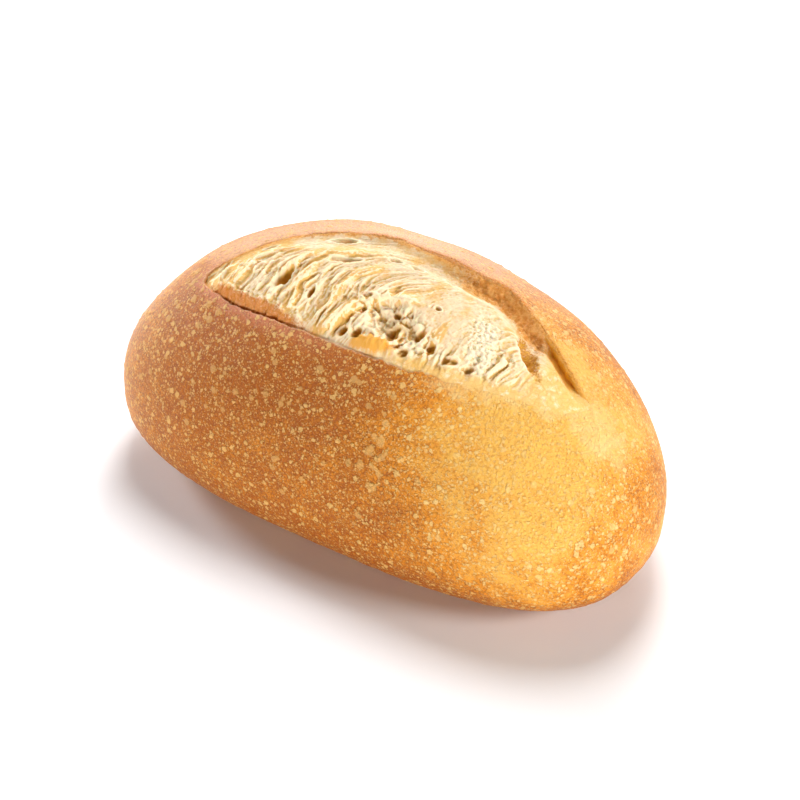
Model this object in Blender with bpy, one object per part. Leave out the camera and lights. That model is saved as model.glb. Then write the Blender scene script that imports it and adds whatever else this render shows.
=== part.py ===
"""A crusty oval bread roll with one long score that has opened in the oven.

Frame: +X runs along the roll, +Z is up, and the origin is the middle of the flat base.
The crust is one lofted skin, the torn crumb that swells through the score is a second body,
and one union fuses them into the single solid that the real roll is.
All sizes are in metres.
"""

import math

import bmesh
import bpy
from mathutils import Vector, noise

# The loaf
LENGTH = 0.120
WIDTH = 0.069
HEIGHT = 0.052
BELLY_HEIGHT = 0.015
UNDER_REACH = 0.019
LEFT_FULLNESS = 0.87
RIGHT_FULLNESS = 0.85
UNDER_FULLNESS = 0.70
TAPER = -0.066
TOP_SLOPE = -0.04
SPINE_BOW = -0.0080
SPINE_SHIFT = -0.0025
CRUST_WAVE = 0.00045
CRUST_WAVE_LENGTH = 0.016

# The score's outline in plan. Its stations run round the opening at equal angles:
# right tip, far lip, left tip, near lip.
SCORE_MIDDLE = 0.0034
SCORE_HALF_LENGTH = 0.0414
LIP_Y = (
    -0.0042, -0.0026, 0.0018, 0.0066, 0.0058, 0.0041, -0.0016, -0.0104,
    -0.0155, -0.0185, -0.0213, -0.0218, -0.0213, -0.0191, -0.0149, -0.0106,
)
# The far lip is pushed out at two kinks: each is x, push and reach.
LIP_KINKS = ((-0.0060, 0.0009, 0.0034), (0.0195, 0.0008, 0.0036))
FAR_LIP_HEIGHT = 0.0008
FAR_LIP_LEFT = 0.35
FAR_RISE_START = -0.030
FAR_RISE_END = -0.008
NEAR_LIP_HEIGHT = 0.0006
NEAR_FADE_START = -0.002
NEAR_FADE_END = 0.012
LIP_SPREAD = 0.0042
LIP_ROUND = 0.0005
LIP_FADE_START = 0.020
LIP_FADE_END = 0.036
GAP_FADE_START = 0.0375
GAP_FADE_END = 0.0440
TROUGH_DEPTH = 0.0075

# The crumb
GUTTER_DEPTH = 0.0005
NEAR_STEP = 0.0024
NEAR_STEP_WIDTH = 0.0014
STEP_TIP_START = -0.038
STEP_TIP_END = -0.027
STEP_FADE_START = -0.020
STEP_FADE_END = -0.003
FAR_DROP_LEFT = 0.0004
FAR_DROP_RIGHT = 0.0024
FAR_DROP_START = -0.002
FAR_DROP_END = 0.018
FAR_SLOPE = 0.0028
FAR_FOOT = 0.0036
FAR_LEVEL = 0.0078
FAR_MEET = 0.0006
FAR_MEET_WIDTH = 0.0022
SLIT_START = 0.0300
SLIT_END = 0.0335
SLIT_DEPTH = 0.0021
SLIT_WIDTH = 0.0036
CRUMB_MARGIN = 0.0024
MARGIN_SLOPE = 0.9
CRUMB_BOTTOM = 0.027
STRAND_SPACING = 0.0030
STRAND_HEIGHT = 0.0008
STRAND_STRAIGHT = 0.30
STRAND_SWEEP = 3.1
CALM_START = 0.012
CALM_END = 0.022

# The flap of crumb at the near lip: centre x, y, half length, half width, height, heading in degrees.
PETAL = (0.0054, -0.0191, 0.0056, 0.0017, 0.0014, 10.0)

# Broad hollows of the torn crumb, with a depth in place of the height.
HOLLOWS = (
    (0.0074, -0.0138, 0.0098, 0.0042, 0.0018, 172.0),
    (0.0310, -0.0044, 0.0056, 0.0015, 0.0022, 139.0),
)

# Torn pores, in the same terms.
PORES = (
    (-0.0352, -0.0140, 0.0028, 0.0008, 0.0014, 78.0),
    (-0.0308, -0.0035, 0.0027, 0.0007, 0.0012, 21.0),
    (-0.0283, -0.0060, 0.0016, 0.0007, 0.0012, 45.0),
    (-0.0251, -0.0108, 0.0018, 0.0007, 0.0012, 60.0),
    (-0.0184, -0.0150, 0.0031, 0.0015, 0.0034, 82.0),
    (-0.0152, 0.0004, 0.0028, 0.0012, 0.0028, 20.0),
    (-0.0112, -0.0154, 0.0014, 0.0007, 0.0018, 95.0),
    (-0.0104, -0.0061, 0.0033, 0.0010, 0.0020, 31.0),
    (-0.0014, -0.0187, 0.0014, 0.0011, 0.0022, 60.0),
    (0.0014, -0.0182, 0.0015, 0.0010, 0.0020, 70.0),
    (0.0062, -0.0118, 0.0010, 0.0009, 0.0018, 0.0),
    (0.0078, -0.0156, 0.0024, 0.0016, 0.0020, 80.0),
    (0.0130, -0.0138, 0.0019, 0.0013, 0.0020, 70.0),
    (0.0164, -0.0150, 0.0018, 0.0012, 0.0022, 100.0),
    (0.0120, -0.0178, 0.0015, 0.0011, 0.0018, 30.0),
    (0.0207, -0.0154, 0.0022, 0.0011, 0.0016, 20.0),
    (0.0248, -0.0146, 0.0017, 0.0009, 0.0014, 25.0),
    (-0.0020, -0.0008, 0.0016, 0.0008, 0.0014, 10.0),
    (0.0030, -0.0004, 0.0018, 0.0009, 0.0018, 5.0),
    (0.0105, 0.0008, 0.0020, 0.0010, 0.0020, -5.0),
)
PORE_RIM = 0.00025

# Folds of pulled crumb. Each is a height, then the plan places that it runs through: it climbs
# gently from its left and breaks off on its right.
FOLDS = (
    (0.0005, (-0.0318, -0.0166), (-0.0322, -0.0110), (-0.0300, -0.0073)),
    (0.0007, (-0.0271, -0.0174), (-0.0266, -0.0113), (-0.0250, -0.0081), (-0.0213, -0.0068)),
    (0.0009, (-0.0179, -0.0129), (-0.0174, -0.0092), (-0.0141, -0.0058), (-0.0086, -0.0027)),
    (0.0006, (-0.0055, -0.0198), (-0.0065, -0.0124), (-0.0056, -0.0085), (-0.0029, -0.0053)),
    (0.0012, (-0.0038, -0.0187), (-0.0025, -0.0161), (-0.0006, -0.0127), (0.0031, -0.0100), (0.0079, -0.0089)),
)
FOLD_SLOPE_WIDTH = 0.0016
FOLD_EDGE_WIDTH = 0.0007

# Mesh density
AROUND = 104
UPPER_RINGS = 13
UNDER_RINGS = 6
BASE_RINGS = 3
LIP_RINGS = 3
FLOOR_RINGS = 1
CRUMB_LONG = 92
CRUMB_ACROSS = 37

SKIN_COLOR = (0.62, 0.31, 0.10, 1.0)
SKIN_ROUGHNESS = 0.62


def smooth(low, high, value):
    """0 below low, 1 above high, with soft ends."""
    t = min(max((value - low) / (high - low), 0.0), 1.0)
    return t * t * (3.0 - 2.0 * t)


def fullness(cx):
    return LEFT_FULLNESS if cx < 0.0 else RIGHT_FULLNESS


def plan_radius(cx, cy):
    """0 on the roll's spine and 1 on its widest outline, in unit plan coordinates."""
    e = fullness(cx)
    return (abs(cx) ** (2.0 / e) + abs(cy) ** (2.0 / e)) ** (e / 2.0)


def to_plan(cx, cy):
    """Unit plan coordinates to metres: the roll tapers and its spine bows."""
    y = 0.5 * WIDTH * cy * (1.0 + TAPER * cx) + SPINE_BOW * (cx * cx - 1.0 / 3.0) + SPINE_SHIFT
    return Vector((0.5 * LENGTH * cx, y))


def to_unit(x, y):
    """The reverse of to_plan."""
    cx = x / (0.5 * LENGTH)
    cy = (y - SPINE_SHIFT - SPINE_BOW * (cx * cx - 1.0 / 3.0)) / (0.5 * WIDTH * (1.0 + TAPER * cx))
    return cx, cy


def wave(x, y, z):
    """The slow, hand-shaped unevenness of the crust."""
    return CRUST_WAVE * noise.noise(Vector((x, y, z)) / CRUST_WAVE_LENGTH)


def top_height(x, y):
    """Height of the unbroken loaf above the table at a plan point."""
    cx, cy = to_unit(x, y)
    rise = HEIGHT * (1.0 + TOP_SLOPE * cx) - BELLY_HEIGHT
    return BELLY_HEIGHT + rise * math.sqrt(max(1.0 - plan_radius(cx, cy) ** 2, 0.0))


def under_height(radius):
    """Height of the underside, which the oven floor cuts flat at 0."""
    return BELLY_HEIGHT - UNDER_REACH * (1.0 - radius ** (2.0 / UNDER_FULLNESS)) ** (UNDER_FULLNESS / 2.0)


def contact_radius():
    """The plan radius at which the underside meets the table."""
    left = 1.0 - (BELLY_HEIGHT / UNDER_REACH) ** (2.0 / UNDER_FULLNESS)
    return left ** (UNDER_FULLNESS / 2.0)


def score_point(angle):
    """A point of the score's outline, by a closed smooth curve through LIP_Y."""
    place = angle / math.tau * len(LIP_Y)
    i = math.floor(place)
    t = place - i
    a, b, c, d = (LIP_Y[(i + k) % len(LIP_Y)] for k in (-1, 0, 1, 2))
    y = b + 0.5 * t * (c - a + t * (2.0 * a - 5.0 * b + 4.0 * c - d + t * (3.0 * (b - c) + d - a)))
    x = SCORE_MIDDLE + SCORE_HALF_LENGTH * math.cos(angle)
    kink = sum(push * math.exp(-(((x - at) / reach) ** 2)) for at, push, reach in LIP_KINKS)
    return Vector((x, y + min(max(3.0 * math.sin(angle), 0.0), 1.0) * kink))


def lips_at(x):
    """The near and the far lip's y at a place along the score."""
    t = min(max((x - SCORE_MIDDLE) / SCORE_HALF_LENGTH, -1.0), 1.0)
    angle = math.acos(t)
    return score_point(math.tau - angle).y, score_point(angle).y


def lip_strength(x):
    """The lips fade into the skin towards the right end."""
    return 1.0 - smooth(LIP_FADE_START, LIP_FADE_END, x)


def gap_strength(x):
    """The opening under the far lip runs on further than the lip stands proud."""
    return 1.0 - smooth(GAP_FADE_START, GAP_FADE_END, x)


def far_side(angle):
    """1 along the far lip and 0 along the near one."""
    return smooth(0.0, 0.5, math.sin(angle))


def far_proud(x):
    """The far lip stands lower at its left end."""
    return FAR_LIP_LEFT + (1.0 - FAR_LIP_LEFT) * smooth(FAR_RISE_START, FAR_RISE_END, x)


def lip_height(angle, x):
    """How proud of the loaf the crest of the lip stands."""
    side = far_side(angle)
    near_height = NEAR_LIP_HEIGHT * (1.0 - smooth(NEAR_FADE_START, NEAR_FADE_END, x))
    return (side * FAR_LIP_HEIGHT * far_proud(x) + (1.0 - side) * near_height) * lip_strength(x)


def upper_skin(angle, t):
    """The crust from the lip, t = 0, to the belly, t = 1."""
    lip = score_point(angle)
    start = Vector(to_unit(*lip))
    ray = Vector((math.cos(angle), math.sin(angle)))
    belly = ray / plan_radius(*ray)
    p = to_plan(*start.lerp(belly, math.sin(0.5 * math.pi * t)))
    if t >= 1.0:
        return Vector((p.x, p.y, BELLY_HEIGHT))
    z = top_height(*p)
    away = (p - lip).length
    ridge = lip_height(angle, lip.x) * math.exp(-((away / LIP_SPREAD) ** 2))
    return Vector((p.x, p.y, z + ridge + wave(p.x, p.y, z)))


def under_skin(angle, radius):
    ray = Vector((math.cos(angle), math.sin(angle)))
    p = to_plan(*(ray / plan_radius(*ray) * radius))
    return Vector((p.x, p.y, max(under_height(min(radius, 1.0)), 0.0)))


def lip_ring(angle, inward, drop):
    """A point of the lip's torn edge: inward of the outline by a length, and below the crest."""
    lip = score_point(angle)
    beyond = score_point(angle + 0.01) - score_point(angle - 0.01)
    normal = Vector((-beyond.y, beyond.x)).normalized()
    p = lip + normal * inward
    crest = top_height(*lip) + lip_height(angle, lip.x)
    return Vector((p.x, p.y, crest - drop))


def crust_rings():
    """Every ring of the crust from the middle of the base to the middle of the hidden trough."""
    contact = contact_radius()
    rings = [lambda a, r=contact * k / BASE_RINGS: under_skin(a, r) for k in range(1, BASE_RINGS)]
    start = math.asin(contact)
    for k in range(UNDER_RINGS):
        radius = math.sin(start + (0.5 * math.pi - start) * k / UNDER_RINGS)
        rings.append(lambda a, r=radius: under_skin(a, r))
    for k in range(UPPER_RINGS, -1, -1):
        rings.append(lambda a, t=(k / UPPER_RINGS) ** 1.25: upper_skin(a, t))
    for k in range(1, LIP_RINGS + 1):
        turn = 0.75 * math.pi * k / LIP_RINGS
        across, down = LIP_ROUND * math.sin(turn), LIP_ROUND * (1.0 - math.cos(turn))
        rings.append(lambda a, i=across, d=down: lip_ring(a, i, d))
    rings.append(lambda a: lip_ring(a, 0.0, TROUGH_DEPTH))
    middle = Vector((SCORE_MIDDLE, sum(LIP_Y) / len(LIP_Y)))
    for k in range(1, FLOOR_RINGS + 1):
        rings.append(lambda a, f=k / (FLOOR_RINGS + 1.0): floor_point(a, middle, f))
    return rings


def floor_point(angle, middle, f):
    p = score_point(angle).lerp(middle, f)
    return Vector((p.x, p.y, top_height(*p) - TROUGH_DEPTH))


def make_crust():
    """A sphere's rings of latitude, each moved to its place on the roll."""
    rings = crust_rings()
    bm = bmesh.new()
    bmesh.ops.create_uvsphere(bm, u_segments=AROUND, v_segments=len(rings) + 1, radius=1.0)
    middle = Vector((SCORE_MIDDLE, sum(LIP_Y) / len(LIP_Y)))
    for vert in bm.verts:
        latitude = math.asin(min(max(vert.co.z, -1.0), 1.0)) / math.pi + 0.5
        ring = round(latitude * (len(rings) + 1)) - 1
        if ring < 0:
            vert.co = Vector((0.0, SPINE_SHIFT, 0.0))
        elif ring >= len(rings):
            vert.co = floor_point(0.0, middle, 1.0)
        else:
            vert.co = rings[ring](math.atan2(vert.co.y, vert.co.x) % math.tau)
    return finish("crust", bm)


def reach_of(shape, x, y):
    """0 in the middle of an oval pore or hollow and 1 on its edge."""
    px, py, half_length, half_width, _, heading = shape
    turn = math.radians(heading)
    along = ((x - px) * math.cos(turn) + (y - py) * math.sin(turn)) / half_length
    across = ((y - py) * math.cos(turn) - (x - px) * math.sin(turn)) / half_width
    return math.hypot(along, across)


def pore_depth(x, y):
    """How far the torn pores and hollows sink the crumb at a plan point."""
    hollow = sum(shape[4] * (1.0 - smooth(0.2, 1.1, reach_of(shape, x, y))) for shape in HOLLOWS)
    reaches = [(reach_of(shape, x, y), shape[4]) for shape in PORES]
    pore = max(deep * (1.0 - smooth(0.35, 1.1, r)) for r, deep in reaches)
    rim = max(math.exp(-(((r - 1.3) / 0.3) ** 2)) for r, deep in reaches)
    return hollow + pore - PORE_RIM * rim


def strand_relief(x, y, near, far):
    """Pulled strands of crumb: straight from the near lip, then swept over towards the right."""
    bent = max((y - near) / (far - near) - STRAND_STRAIGHT, 0.0)
    across = (x - (far - near) * STRAND_SWEEP * bent ** 3) / STRAND_SPACING
    slope = 3.0 * STRAND_SWEEP * bent ** 2
    ridge = 1.0 - abs(2.0 * noise.noise(Vector((across, y / (4.0 * STRAND_SPACING), 0.0))))
    calm = 1.0 - 0.6 * smooth(CALM_START, CALM_END, x)
    return STRAND_HEIGHT * calm / (1.0 + slope * slope) * (1.6 * ridge - 1.0)


def fold_lift(points, x, y):
    """0 away from a fold's line and 1 on it."""
    nearest, side = math.inf, 0.0
    for start, end in zip(points, points[1:]):
        run = Vector(end) - Vector(start)
        from_start = Vector((x, y)) - Vector(start)
        t = min(max(from_start.dot(run) / run.length_squared, 0.0), 1.0)
        away = (from_start - run * t).length
        if away < nearest:
            nearest, side = away, run.cross(from_start)
    width = FOLD_SLOPE_WIDTH if side > 0.0 else FOLD_EDGE_WIDTH
    return math.exp(-((nearest / width) ** 2))


def step_strength(x):
    """Where along the near lip the crumb stands up behind it as a torn wall."""
    return smooth(STEP_TIP_START, STEP_TIP_END, x) * (1.0 - smooth(STEP_FADE_START, STEP_FADE_END, x))


def far_sink(x, from_far):
    """The crumb meets the far lip, sinks in front of it, and at the right falls away in a slit."""
    drop = FAR_DROP_LEFT + (FAR_DROP_RIGHT - FAR_DROP_LEFT) * smooth(FAR_DROP_START, FAR_DROP_END, x)
    in_slit = smooth(SLIT_START, SLIT_END, x)
    valley = smooth(0.0, FAR_SLOPE, from_far) * (1.0 - smooth(FAR_FOOT, FAR_LEVEL, from_far))
    meet = FAR_MEET * lip_strength(x) * far_proud(x) * (1.0 - smooth(0.0, FAR_MEET_WIDTH, from_far))
    slit = SLIT_DEPTH * gap_strength(x) * (1.0 - smooth(0.5, 1.0, from_far / SLIT_WIDTH))
    return (1.0 - in_slit) * (drop * valley - meet) + in_slit * slit


def crumb_height(x, y):
    """The torn surface: it steps up behind the near lip and sinks in front of the far one."""
    near, far = lips_at(x)
    far = max(far, near + 0.003)
    from_near, from_far = y - near, far - y
    level_out = 1.0 - smooth(0.10, 1.0, from_near / (far - near))
    up = smooth(0.0, NEAR_STEP_WIDTH, from_near)
    z = top_height(x, y) + NEAR_STEP * step_strength(x) * up * level_out
    z -= GUTTER_DEPTH * lip_strength(x) * (1.0 - up) + far_sink(x, from_far)
    z += PETAL[4] * (1.0 - smooth(0.3, 1.1, reach_of(PETAL, x, y)))
    folded = sum(shape[0] * fold_lift(shape[1:], x, y) for shape in FOLDS)
    inside = smooth(0.0, 0.004, min(from_near, from_far))
    z += inside * (strand_relief(x, y, near, far) + folded - pore_depth(x, y))
    return z - MARGIN_SLOPE * max(-from_near, -from_far, 0.0)


def make_crumb():
    """A grid whose rows follow the lips, raised to the crumb's torn surface and closed below."""
    bm = bmesh.new()
    bmesh.ops.create_grid(bm, x_segments=CRUMB_LONG, y_segments=CRUMB_ACROSS, size=0.5)
    for vert in bm.verts:
        reach = SCORE_HALF_LENGTH + CRUMB_MARGIN
        x = SCORE_MIDDLE + 2.0 * vert.co.x * reach
        near, far = lips_at(x)
        y = near - CRUMB_MARGIN + (vert.co.y + 0.5) * (far - near + 2.0 * CRUMB_MARGIN)
        past = max(abs(x - SCORE_MIDDLE) - SCORE_HALF_LENGTH, 0.0)
        vert.co = Vector((x, y, crumb_height(x, y) - MARGIN_SLOPE * past))
    rim = [edge for edge in bm.edges if edge.is_boundary]
    skirt = bmesh.ops.extrude_edge_only(bm, edges=rim)["geom"]
    for vert in (item for item in skirt if isinstance(item, bmesh.types.BMVert)):
        vert.co.z = CRUMB_BOTTOM
    bmesh.ops.holes_fill(bm, edges=[edge for edge in bm.edges if edge.is_boundary], sides=0)
    return finish("crumb", bm)


def finish(name, bm):
    """The bmesh as an object with its faces pointing out, in flat triangles."""
    bmesh.ops.recalc_face_normals(bm, faces=bm.faces)
    bmesh.ops.triangulate(bm, faces=bm.faces)
    mesh = bpy.data.meshes.new(name)
    bm.to_mesh(mesh)
    bm.free()
    obj = bpy.data.objects.new(name, mesh)
    bpy.context.scene.collection.objects.link(obj)
    return obj


def skin_material():
    material = bpy.data.materials.new("baked_crust")
    material.use_nodes = True
    shader = material.node_tree.nodes["Principled BSDF"]
    shader.inputs["Base Color"].default_value = SKIN_COLOR
    shader.inputs["Roughness"].default_value = SKIN_ROUGHNESS
    return material


def build():
    for obj in list(bpy.data.objects):
        bpy.data.objects.remove(obj)
    roll = make_crust()
    roll.name = "bread_roll"
    crumb = make_crumb()
    crumb.hide_render = True
    crumb.display_type = "WIRE"
    fuse = roll.modifiers.new("fuse_crumb", "BOOLEAN")
    fuse.operation = "UNION"
    fuse.object = crumb
    roll.data.materials.append(skin_material())
    roll.data.shade_smooth()
    roll.data.set_sharp_from_angle(angle=math.radians(40.0))


build()
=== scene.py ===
# %% [markdown]
# # A crusty bread roll with one open score
#
# The real roll is one lump of dough. Before baking it was cut once along the top, and in the
# oven the crumb swelled up through that cut and tore it open. So two skins meet here: the brown
# crust, and the pale torn crumb. Each is made as its own closed mesh, with the same named sizes
# as the solid that it stands for, and far more detail than that solid holds.

# %% Load the frame
import math

import bmesh
import bpy
import numpy as np
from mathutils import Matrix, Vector, noise
from mathutils.kdtree import KDTree


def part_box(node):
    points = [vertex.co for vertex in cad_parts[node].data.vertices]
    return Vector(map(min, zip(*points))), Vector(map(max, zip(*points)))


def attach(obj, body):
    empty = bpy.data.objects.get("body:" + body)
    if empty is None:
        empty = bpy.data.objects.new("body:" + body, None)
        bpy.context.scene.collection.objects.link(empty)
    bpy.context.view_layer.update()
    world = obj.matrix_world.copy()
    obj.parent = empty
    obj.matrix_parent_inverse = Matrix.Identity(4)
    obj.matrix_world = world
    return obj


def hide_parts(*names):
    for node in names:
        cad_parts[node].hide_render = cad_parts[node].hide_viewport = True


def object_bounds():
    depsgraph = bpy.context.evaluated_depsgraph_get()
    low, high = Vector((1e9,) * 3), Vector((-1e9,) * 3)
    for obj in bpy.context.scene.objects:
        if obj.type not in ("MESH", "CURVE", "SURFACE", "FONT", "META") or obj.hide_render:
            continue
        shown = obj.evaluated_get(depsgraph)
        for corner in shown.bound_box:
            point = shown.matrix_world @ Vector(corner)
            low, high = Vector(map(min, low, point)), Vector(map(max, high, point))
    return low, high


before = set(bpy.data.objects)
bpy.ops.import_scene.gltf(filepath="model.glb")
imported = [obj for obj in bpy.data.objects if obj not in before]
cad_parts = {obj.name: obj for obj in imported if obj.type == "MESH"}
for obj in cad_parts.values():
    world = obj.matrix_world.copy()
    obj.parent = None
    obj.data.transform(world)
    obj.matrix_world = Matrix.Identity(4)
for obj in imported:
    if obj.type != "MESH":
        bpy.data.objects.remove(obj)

BODY, NODE, SLOT = "root", "bread_roll", "baked_bread"
cad_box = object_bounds()
print("the solid's box:", [[round(v, 4) for v in corner] for corner in cad_box])

# %% [markdown]
# ## Camera
#
# The photo looks down on the roll from about 35 degrees, past its blunt right end. A long lens
# keeps the far end almost as large as the near one. The camera is placed by two angles and a
# distance from the point that it looks at, so each can be changed without touching the others.

# %% Place the camera
AZIMUTH = math.radians(35.9)
ELEVATION = math.radians(35.5)
DISTANCE = 0.411
FIELD_OF_VIEW = math.radians(22.0)
LOOK_AT = Vector((0.0, -0.0025, 0.0220))
AIM_RIGHT, AIM_UP = 0.00032, -0.00089

back = Vector((math.sin(AZIMUTH) * math.cos(ELEVATION), -math.cos(AZIMUTH) * math.cos(ELEVATION),
               math.sin(ELEVATION)))
right = Vector((math.cos(AZIMUTH), math.sin(AZIMUTH), 0.0))
up = back.cross(right)
aim = LOOK_AT + right * AIM_RIGHT + up * AIM_UP
camera = bpy.data.objects.new("camera", bpy.data.cameras.new("camera"))
camera.data.angle = FIELD_OF_VIEW
camera.data.clip_start = 0.01
camera.location = aim + back * DISTANCE
camera.rotation_euler = back.to_track_quat("Z", "Y").to_euler()
bpy.context.scene.collection.objects.link(camera)
bpy.context.scene.camera = camera
print("camera at", [round(v, 3) for v in camera.location])

# %% [markdown]
# ## Light and floor
#
# The roll lies on a white sweep among soft lamps. The top lamp and the back lamp stand behind it,
# so its shadow falls towards the camera. The left and the right one light its two ends, and the
# left one is a little cool. The two front lamps stand almost on the floor: they light the near
# side and hardly touch the floor, so the shadow under the belly stays deep.

# %% Light the roll
SKY_COLOR, SKY_STRENGTH = (1.0, 0.84, 0.80, 1.0), 0.06
# Each lamp: metres to the right, away from the camera and up, then its size, power and colour.
LAMPS = {
    "top": ((0.03, 0.27, 0.56), 0.30, 3.0, (1.0, 0.985, 0.98)),
    "back": ((0.12, 0.56, 0.25), 0.28, 2.3, (1.0, 0.98, 0.98)),
    "left": ((-0.49, 0.44, 0.21), 0.18, 3.4, (0.91, 0.95, 1.0)),
    "right": ((0.50, -0.24, 0.25), 0.20, 2.6, (1.0, 0.975, 0.95)),
    "front": ((0.08, -0.62, 0.060), 0.12, 2.1, (1.0, 0.975, 0.93)),
    "front_left": ((-0.56, -0.26, 0.050), 0.12, 1.5, (1.0, 0.975, 0.95)),
}
away = Vector((-math.sin(AZIMUTH), math.cos(AZIMUTH), 0.0))
scene = bpy.context.scene
scene.view_settings.view_transform = "Standard"
world = bpy.data.worlds.new("sky")
world.use_nodes = True
world.node_tree.nodes["Background"].inputs["Color"].default_value = SKY_COLOR
world.node_tree.nodes["Background"].inputs["Strength"].default_value = SKY_STRENGTH
scene.world = world
for name, ((to_right, to_back, height), size, power, color) in LAMPS.items():
    lamp = bpy.data.objects.new(name, bpy.data.lights.new(name, "AREA"))
    lamp.data.shape = "DISK"
    lamp.data.size, lamp.data.energy, lamp.data.color = size, power, color
    lamp.location = right * to_right + away * to_back + Vector((0.0, 0.0, height))
    lamp.rotation_euler = (lamp.location - LOOK_AT).to_track_quat("Z", "Y").to_euler()
    scene.collection.objects.link(lamp)
print(len(LAMPS), "lamps")

# %% Lay the floor
FLOOR_SIZE = 6.0
FLOOR_COLOR = (0.93, 0.93, 0.945, 1.0)
bm = bmesh.new()
bmesh.ops.create_grid(bm, x_segments=1, y_segments=1, size=0.5 * FLOOR_SIZE)
floor = bpy.data.objects.new("floor", bpy.data.meshes.new("floor"))
bm.to_mesh(floor.data)
bm.free()
paper = bpy.data.materials.new("white_sweep")
paper.use_nodes = True
paper.node_tree.nodes["Principled BSDF"].inputs["Base Color"].default_value = FLOOR_COLOR
paper.node_tree.nodes["Principled BSDF"].inputs["Roughness"].default_value = 0.7
floor.data.materials.append(paper)
scene.collection.objects.link(floor)

# %% [markdown]
# ## The loaf's form
#
# A roll is close to a squashed ball, but fuller: its plan is a superellipse, its back bows a
# little, and its top slopes down towards the right. These functions give that form anywhere.
# They work on whole arrays of points at once, which is what makes a fine mesh quick to shape.

# %% Sizes of the loaf
low, high = (Vector(corner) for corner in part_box(NODE))
LENGTH = high.x - low.x
WIDTH = 0.069
HEIGHT = 0.052
BELLY_HEIGHT = 0.015
UNDER_REACH = 0.019
LEFT_FULLNESS, RIGHT_FULLNESS, UNDER_FULLNESS = 0.87, 0.85, 0.70
TAPER, TOP_SLOPE = -0.066, -0.04
SPINE_BOW, SPINE_SHIFT = -0.0080, -0.0025
CRUST_WAVE, CRUST_WAVE_LENGTH = 0.00045, 0.016


def smooth(low_end, high_end, value):
    """0 below the low end, 1 above the high end, with soft ends."""
    t = np.clip((value - low_end) / (high_end - low_end), 0.0, 1.0)
    return t * t * (3.0 - 2.0 * t)


def plan_radius(cx, cy):
    """0 on the roll's spine and 1 on its widest outline, in unit plan coordinates."""
    e = np.where(cx < 0.0, LEFT_FULLNESS, RIGHT_FULLNESS)
    return (np.abs(cx) ** (2.0 / e) + np.abs(cy) ** (2.0 / e)) ** (e / 2.0)


def to_plan(cx, cy):
    """Unit plan coordinates to metres: the roll tapers and its spine bows."""
    y = 0.5 * WIDTH * cy * (1.0 + TAPER * cx) + SPINE_BOW * (cx * cx - 1.0 / 3.0) + SPINE_SHIFT
    return 0.5 * LENGTH * cx, y


def to_unit(x, y):
    """The reverse of to_plan."""
    cx = x / (0.5 * LENGTH)
    return cx, (y - SPINE_SHIFT - SPINE_BOW * (cx * cx - 1.0 / 3.0)) / (0.5 * WIDTH * (1.0 + TAPER * cx))


def top_height(x, y):
    """Height of the unbroken loaf above the table at plan points."""
    cx, cy = to_unit(x, y)
    rise = HEIGHT * (1.0 + TOP_SLOPE * cx) - BELLY_HEIGHT
    return BELLY_HEIGHT + rise * np.sqrt(np.maximum(1.0 - plan_radius(cx, cy) ** 2, 0.0))


def under_height(radius):
    """Height of the underside, which the oven floor cuts flat at 0."""
    reach = (1.0 - np.minimum(radius, 1.0) ** (2.0 / UNDER_FULLNESS)) ** (UNDER_FULLNESS / 2.0)
    return np.maximum(BELLY_HEIGHT - UNDER_REACH * reach, 0.0)


CONTACT_RADIUS = (1.0 - (BELLY_HEIGHT / UNDER_REACH) ** (2.0 / UNDER_FULLNESS)) ** (UNDER_FULLNESS / 2.0)
print("the flat base reaches", round(CONTACT_RADIUS, 2), "of the way to the belly")

# %% [markdown]
# ## The score
#
# The baker's cut opened into a long leaf: its near lip is low and its far lip stands up, an ear
# that the steam lifted. In plan each lip is one smooth curve through a few places measured from
# the photo, sixteen round the whole opening.

# %% The score's outline
SCORE_MIDDLE = 0.0034
SCORE_HALF_LENGTH = 0.0414
LIP_Y = np.array((
    -0.0042, -0.0026, 0.0018, 0.0066, 0.0058, 0.0041, -0.0016, -0.0104,
    -0.0155, -0.0185, -0.0213, -0.0218, -0.0213, -0.0191, -0.0149, -0.0106,
))
# The far lip is pushed out at a few kinks: each is x, push and reach.
LIP_KINKS = ((-0.0060, 0.0009, 0.0034), (0.0195, 0.0008, 0.0036))
FAR_LIP_HEIGHT, FAR_LIP_LEFT, NEAR_LIP_HEIGHT = 0.0008, 0.35, 0.0006
FAR_RISE_START, FAR_RISE_END = -0.030, -0.008
FAR_DROP_START, FAR_DROP_END = -0.002, 0.018
LIP_SPREAD = 0.0042
LIP_FADE_START, LIP_FADE_END = 0.020, 0.036
GAP_FADE_START, GAP_FADE_END = 0.0375, 0.0440
NEAR_FADE_START, NEAR_FADE_END = -0.002, 0.012


def rough(points, size, octaves=1, seed=0.0):
    """Soft random relief, about -1 to 1: size is how far apart its bumps are, in metres."""
    spots = (np.asarray(points) / size + seed).tolist()
    return np.array([noise.fractal(spot, 1.0, 2.0, octaves) for spot in spots])


def flat_points(x, y, z=0.0):
    """Arrays of coordinates as one table of points."""
    return np.stack(np.broadcast_arrays(x, y, z), axis=-1).astype(float)


def score_x(angle):
    """The outline's x, for an angle round the opening: 0 is its right end."""
    return SCORE_MIDDLE + SCORE_HALF_LENGTH * np.cos(angle)


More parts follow.
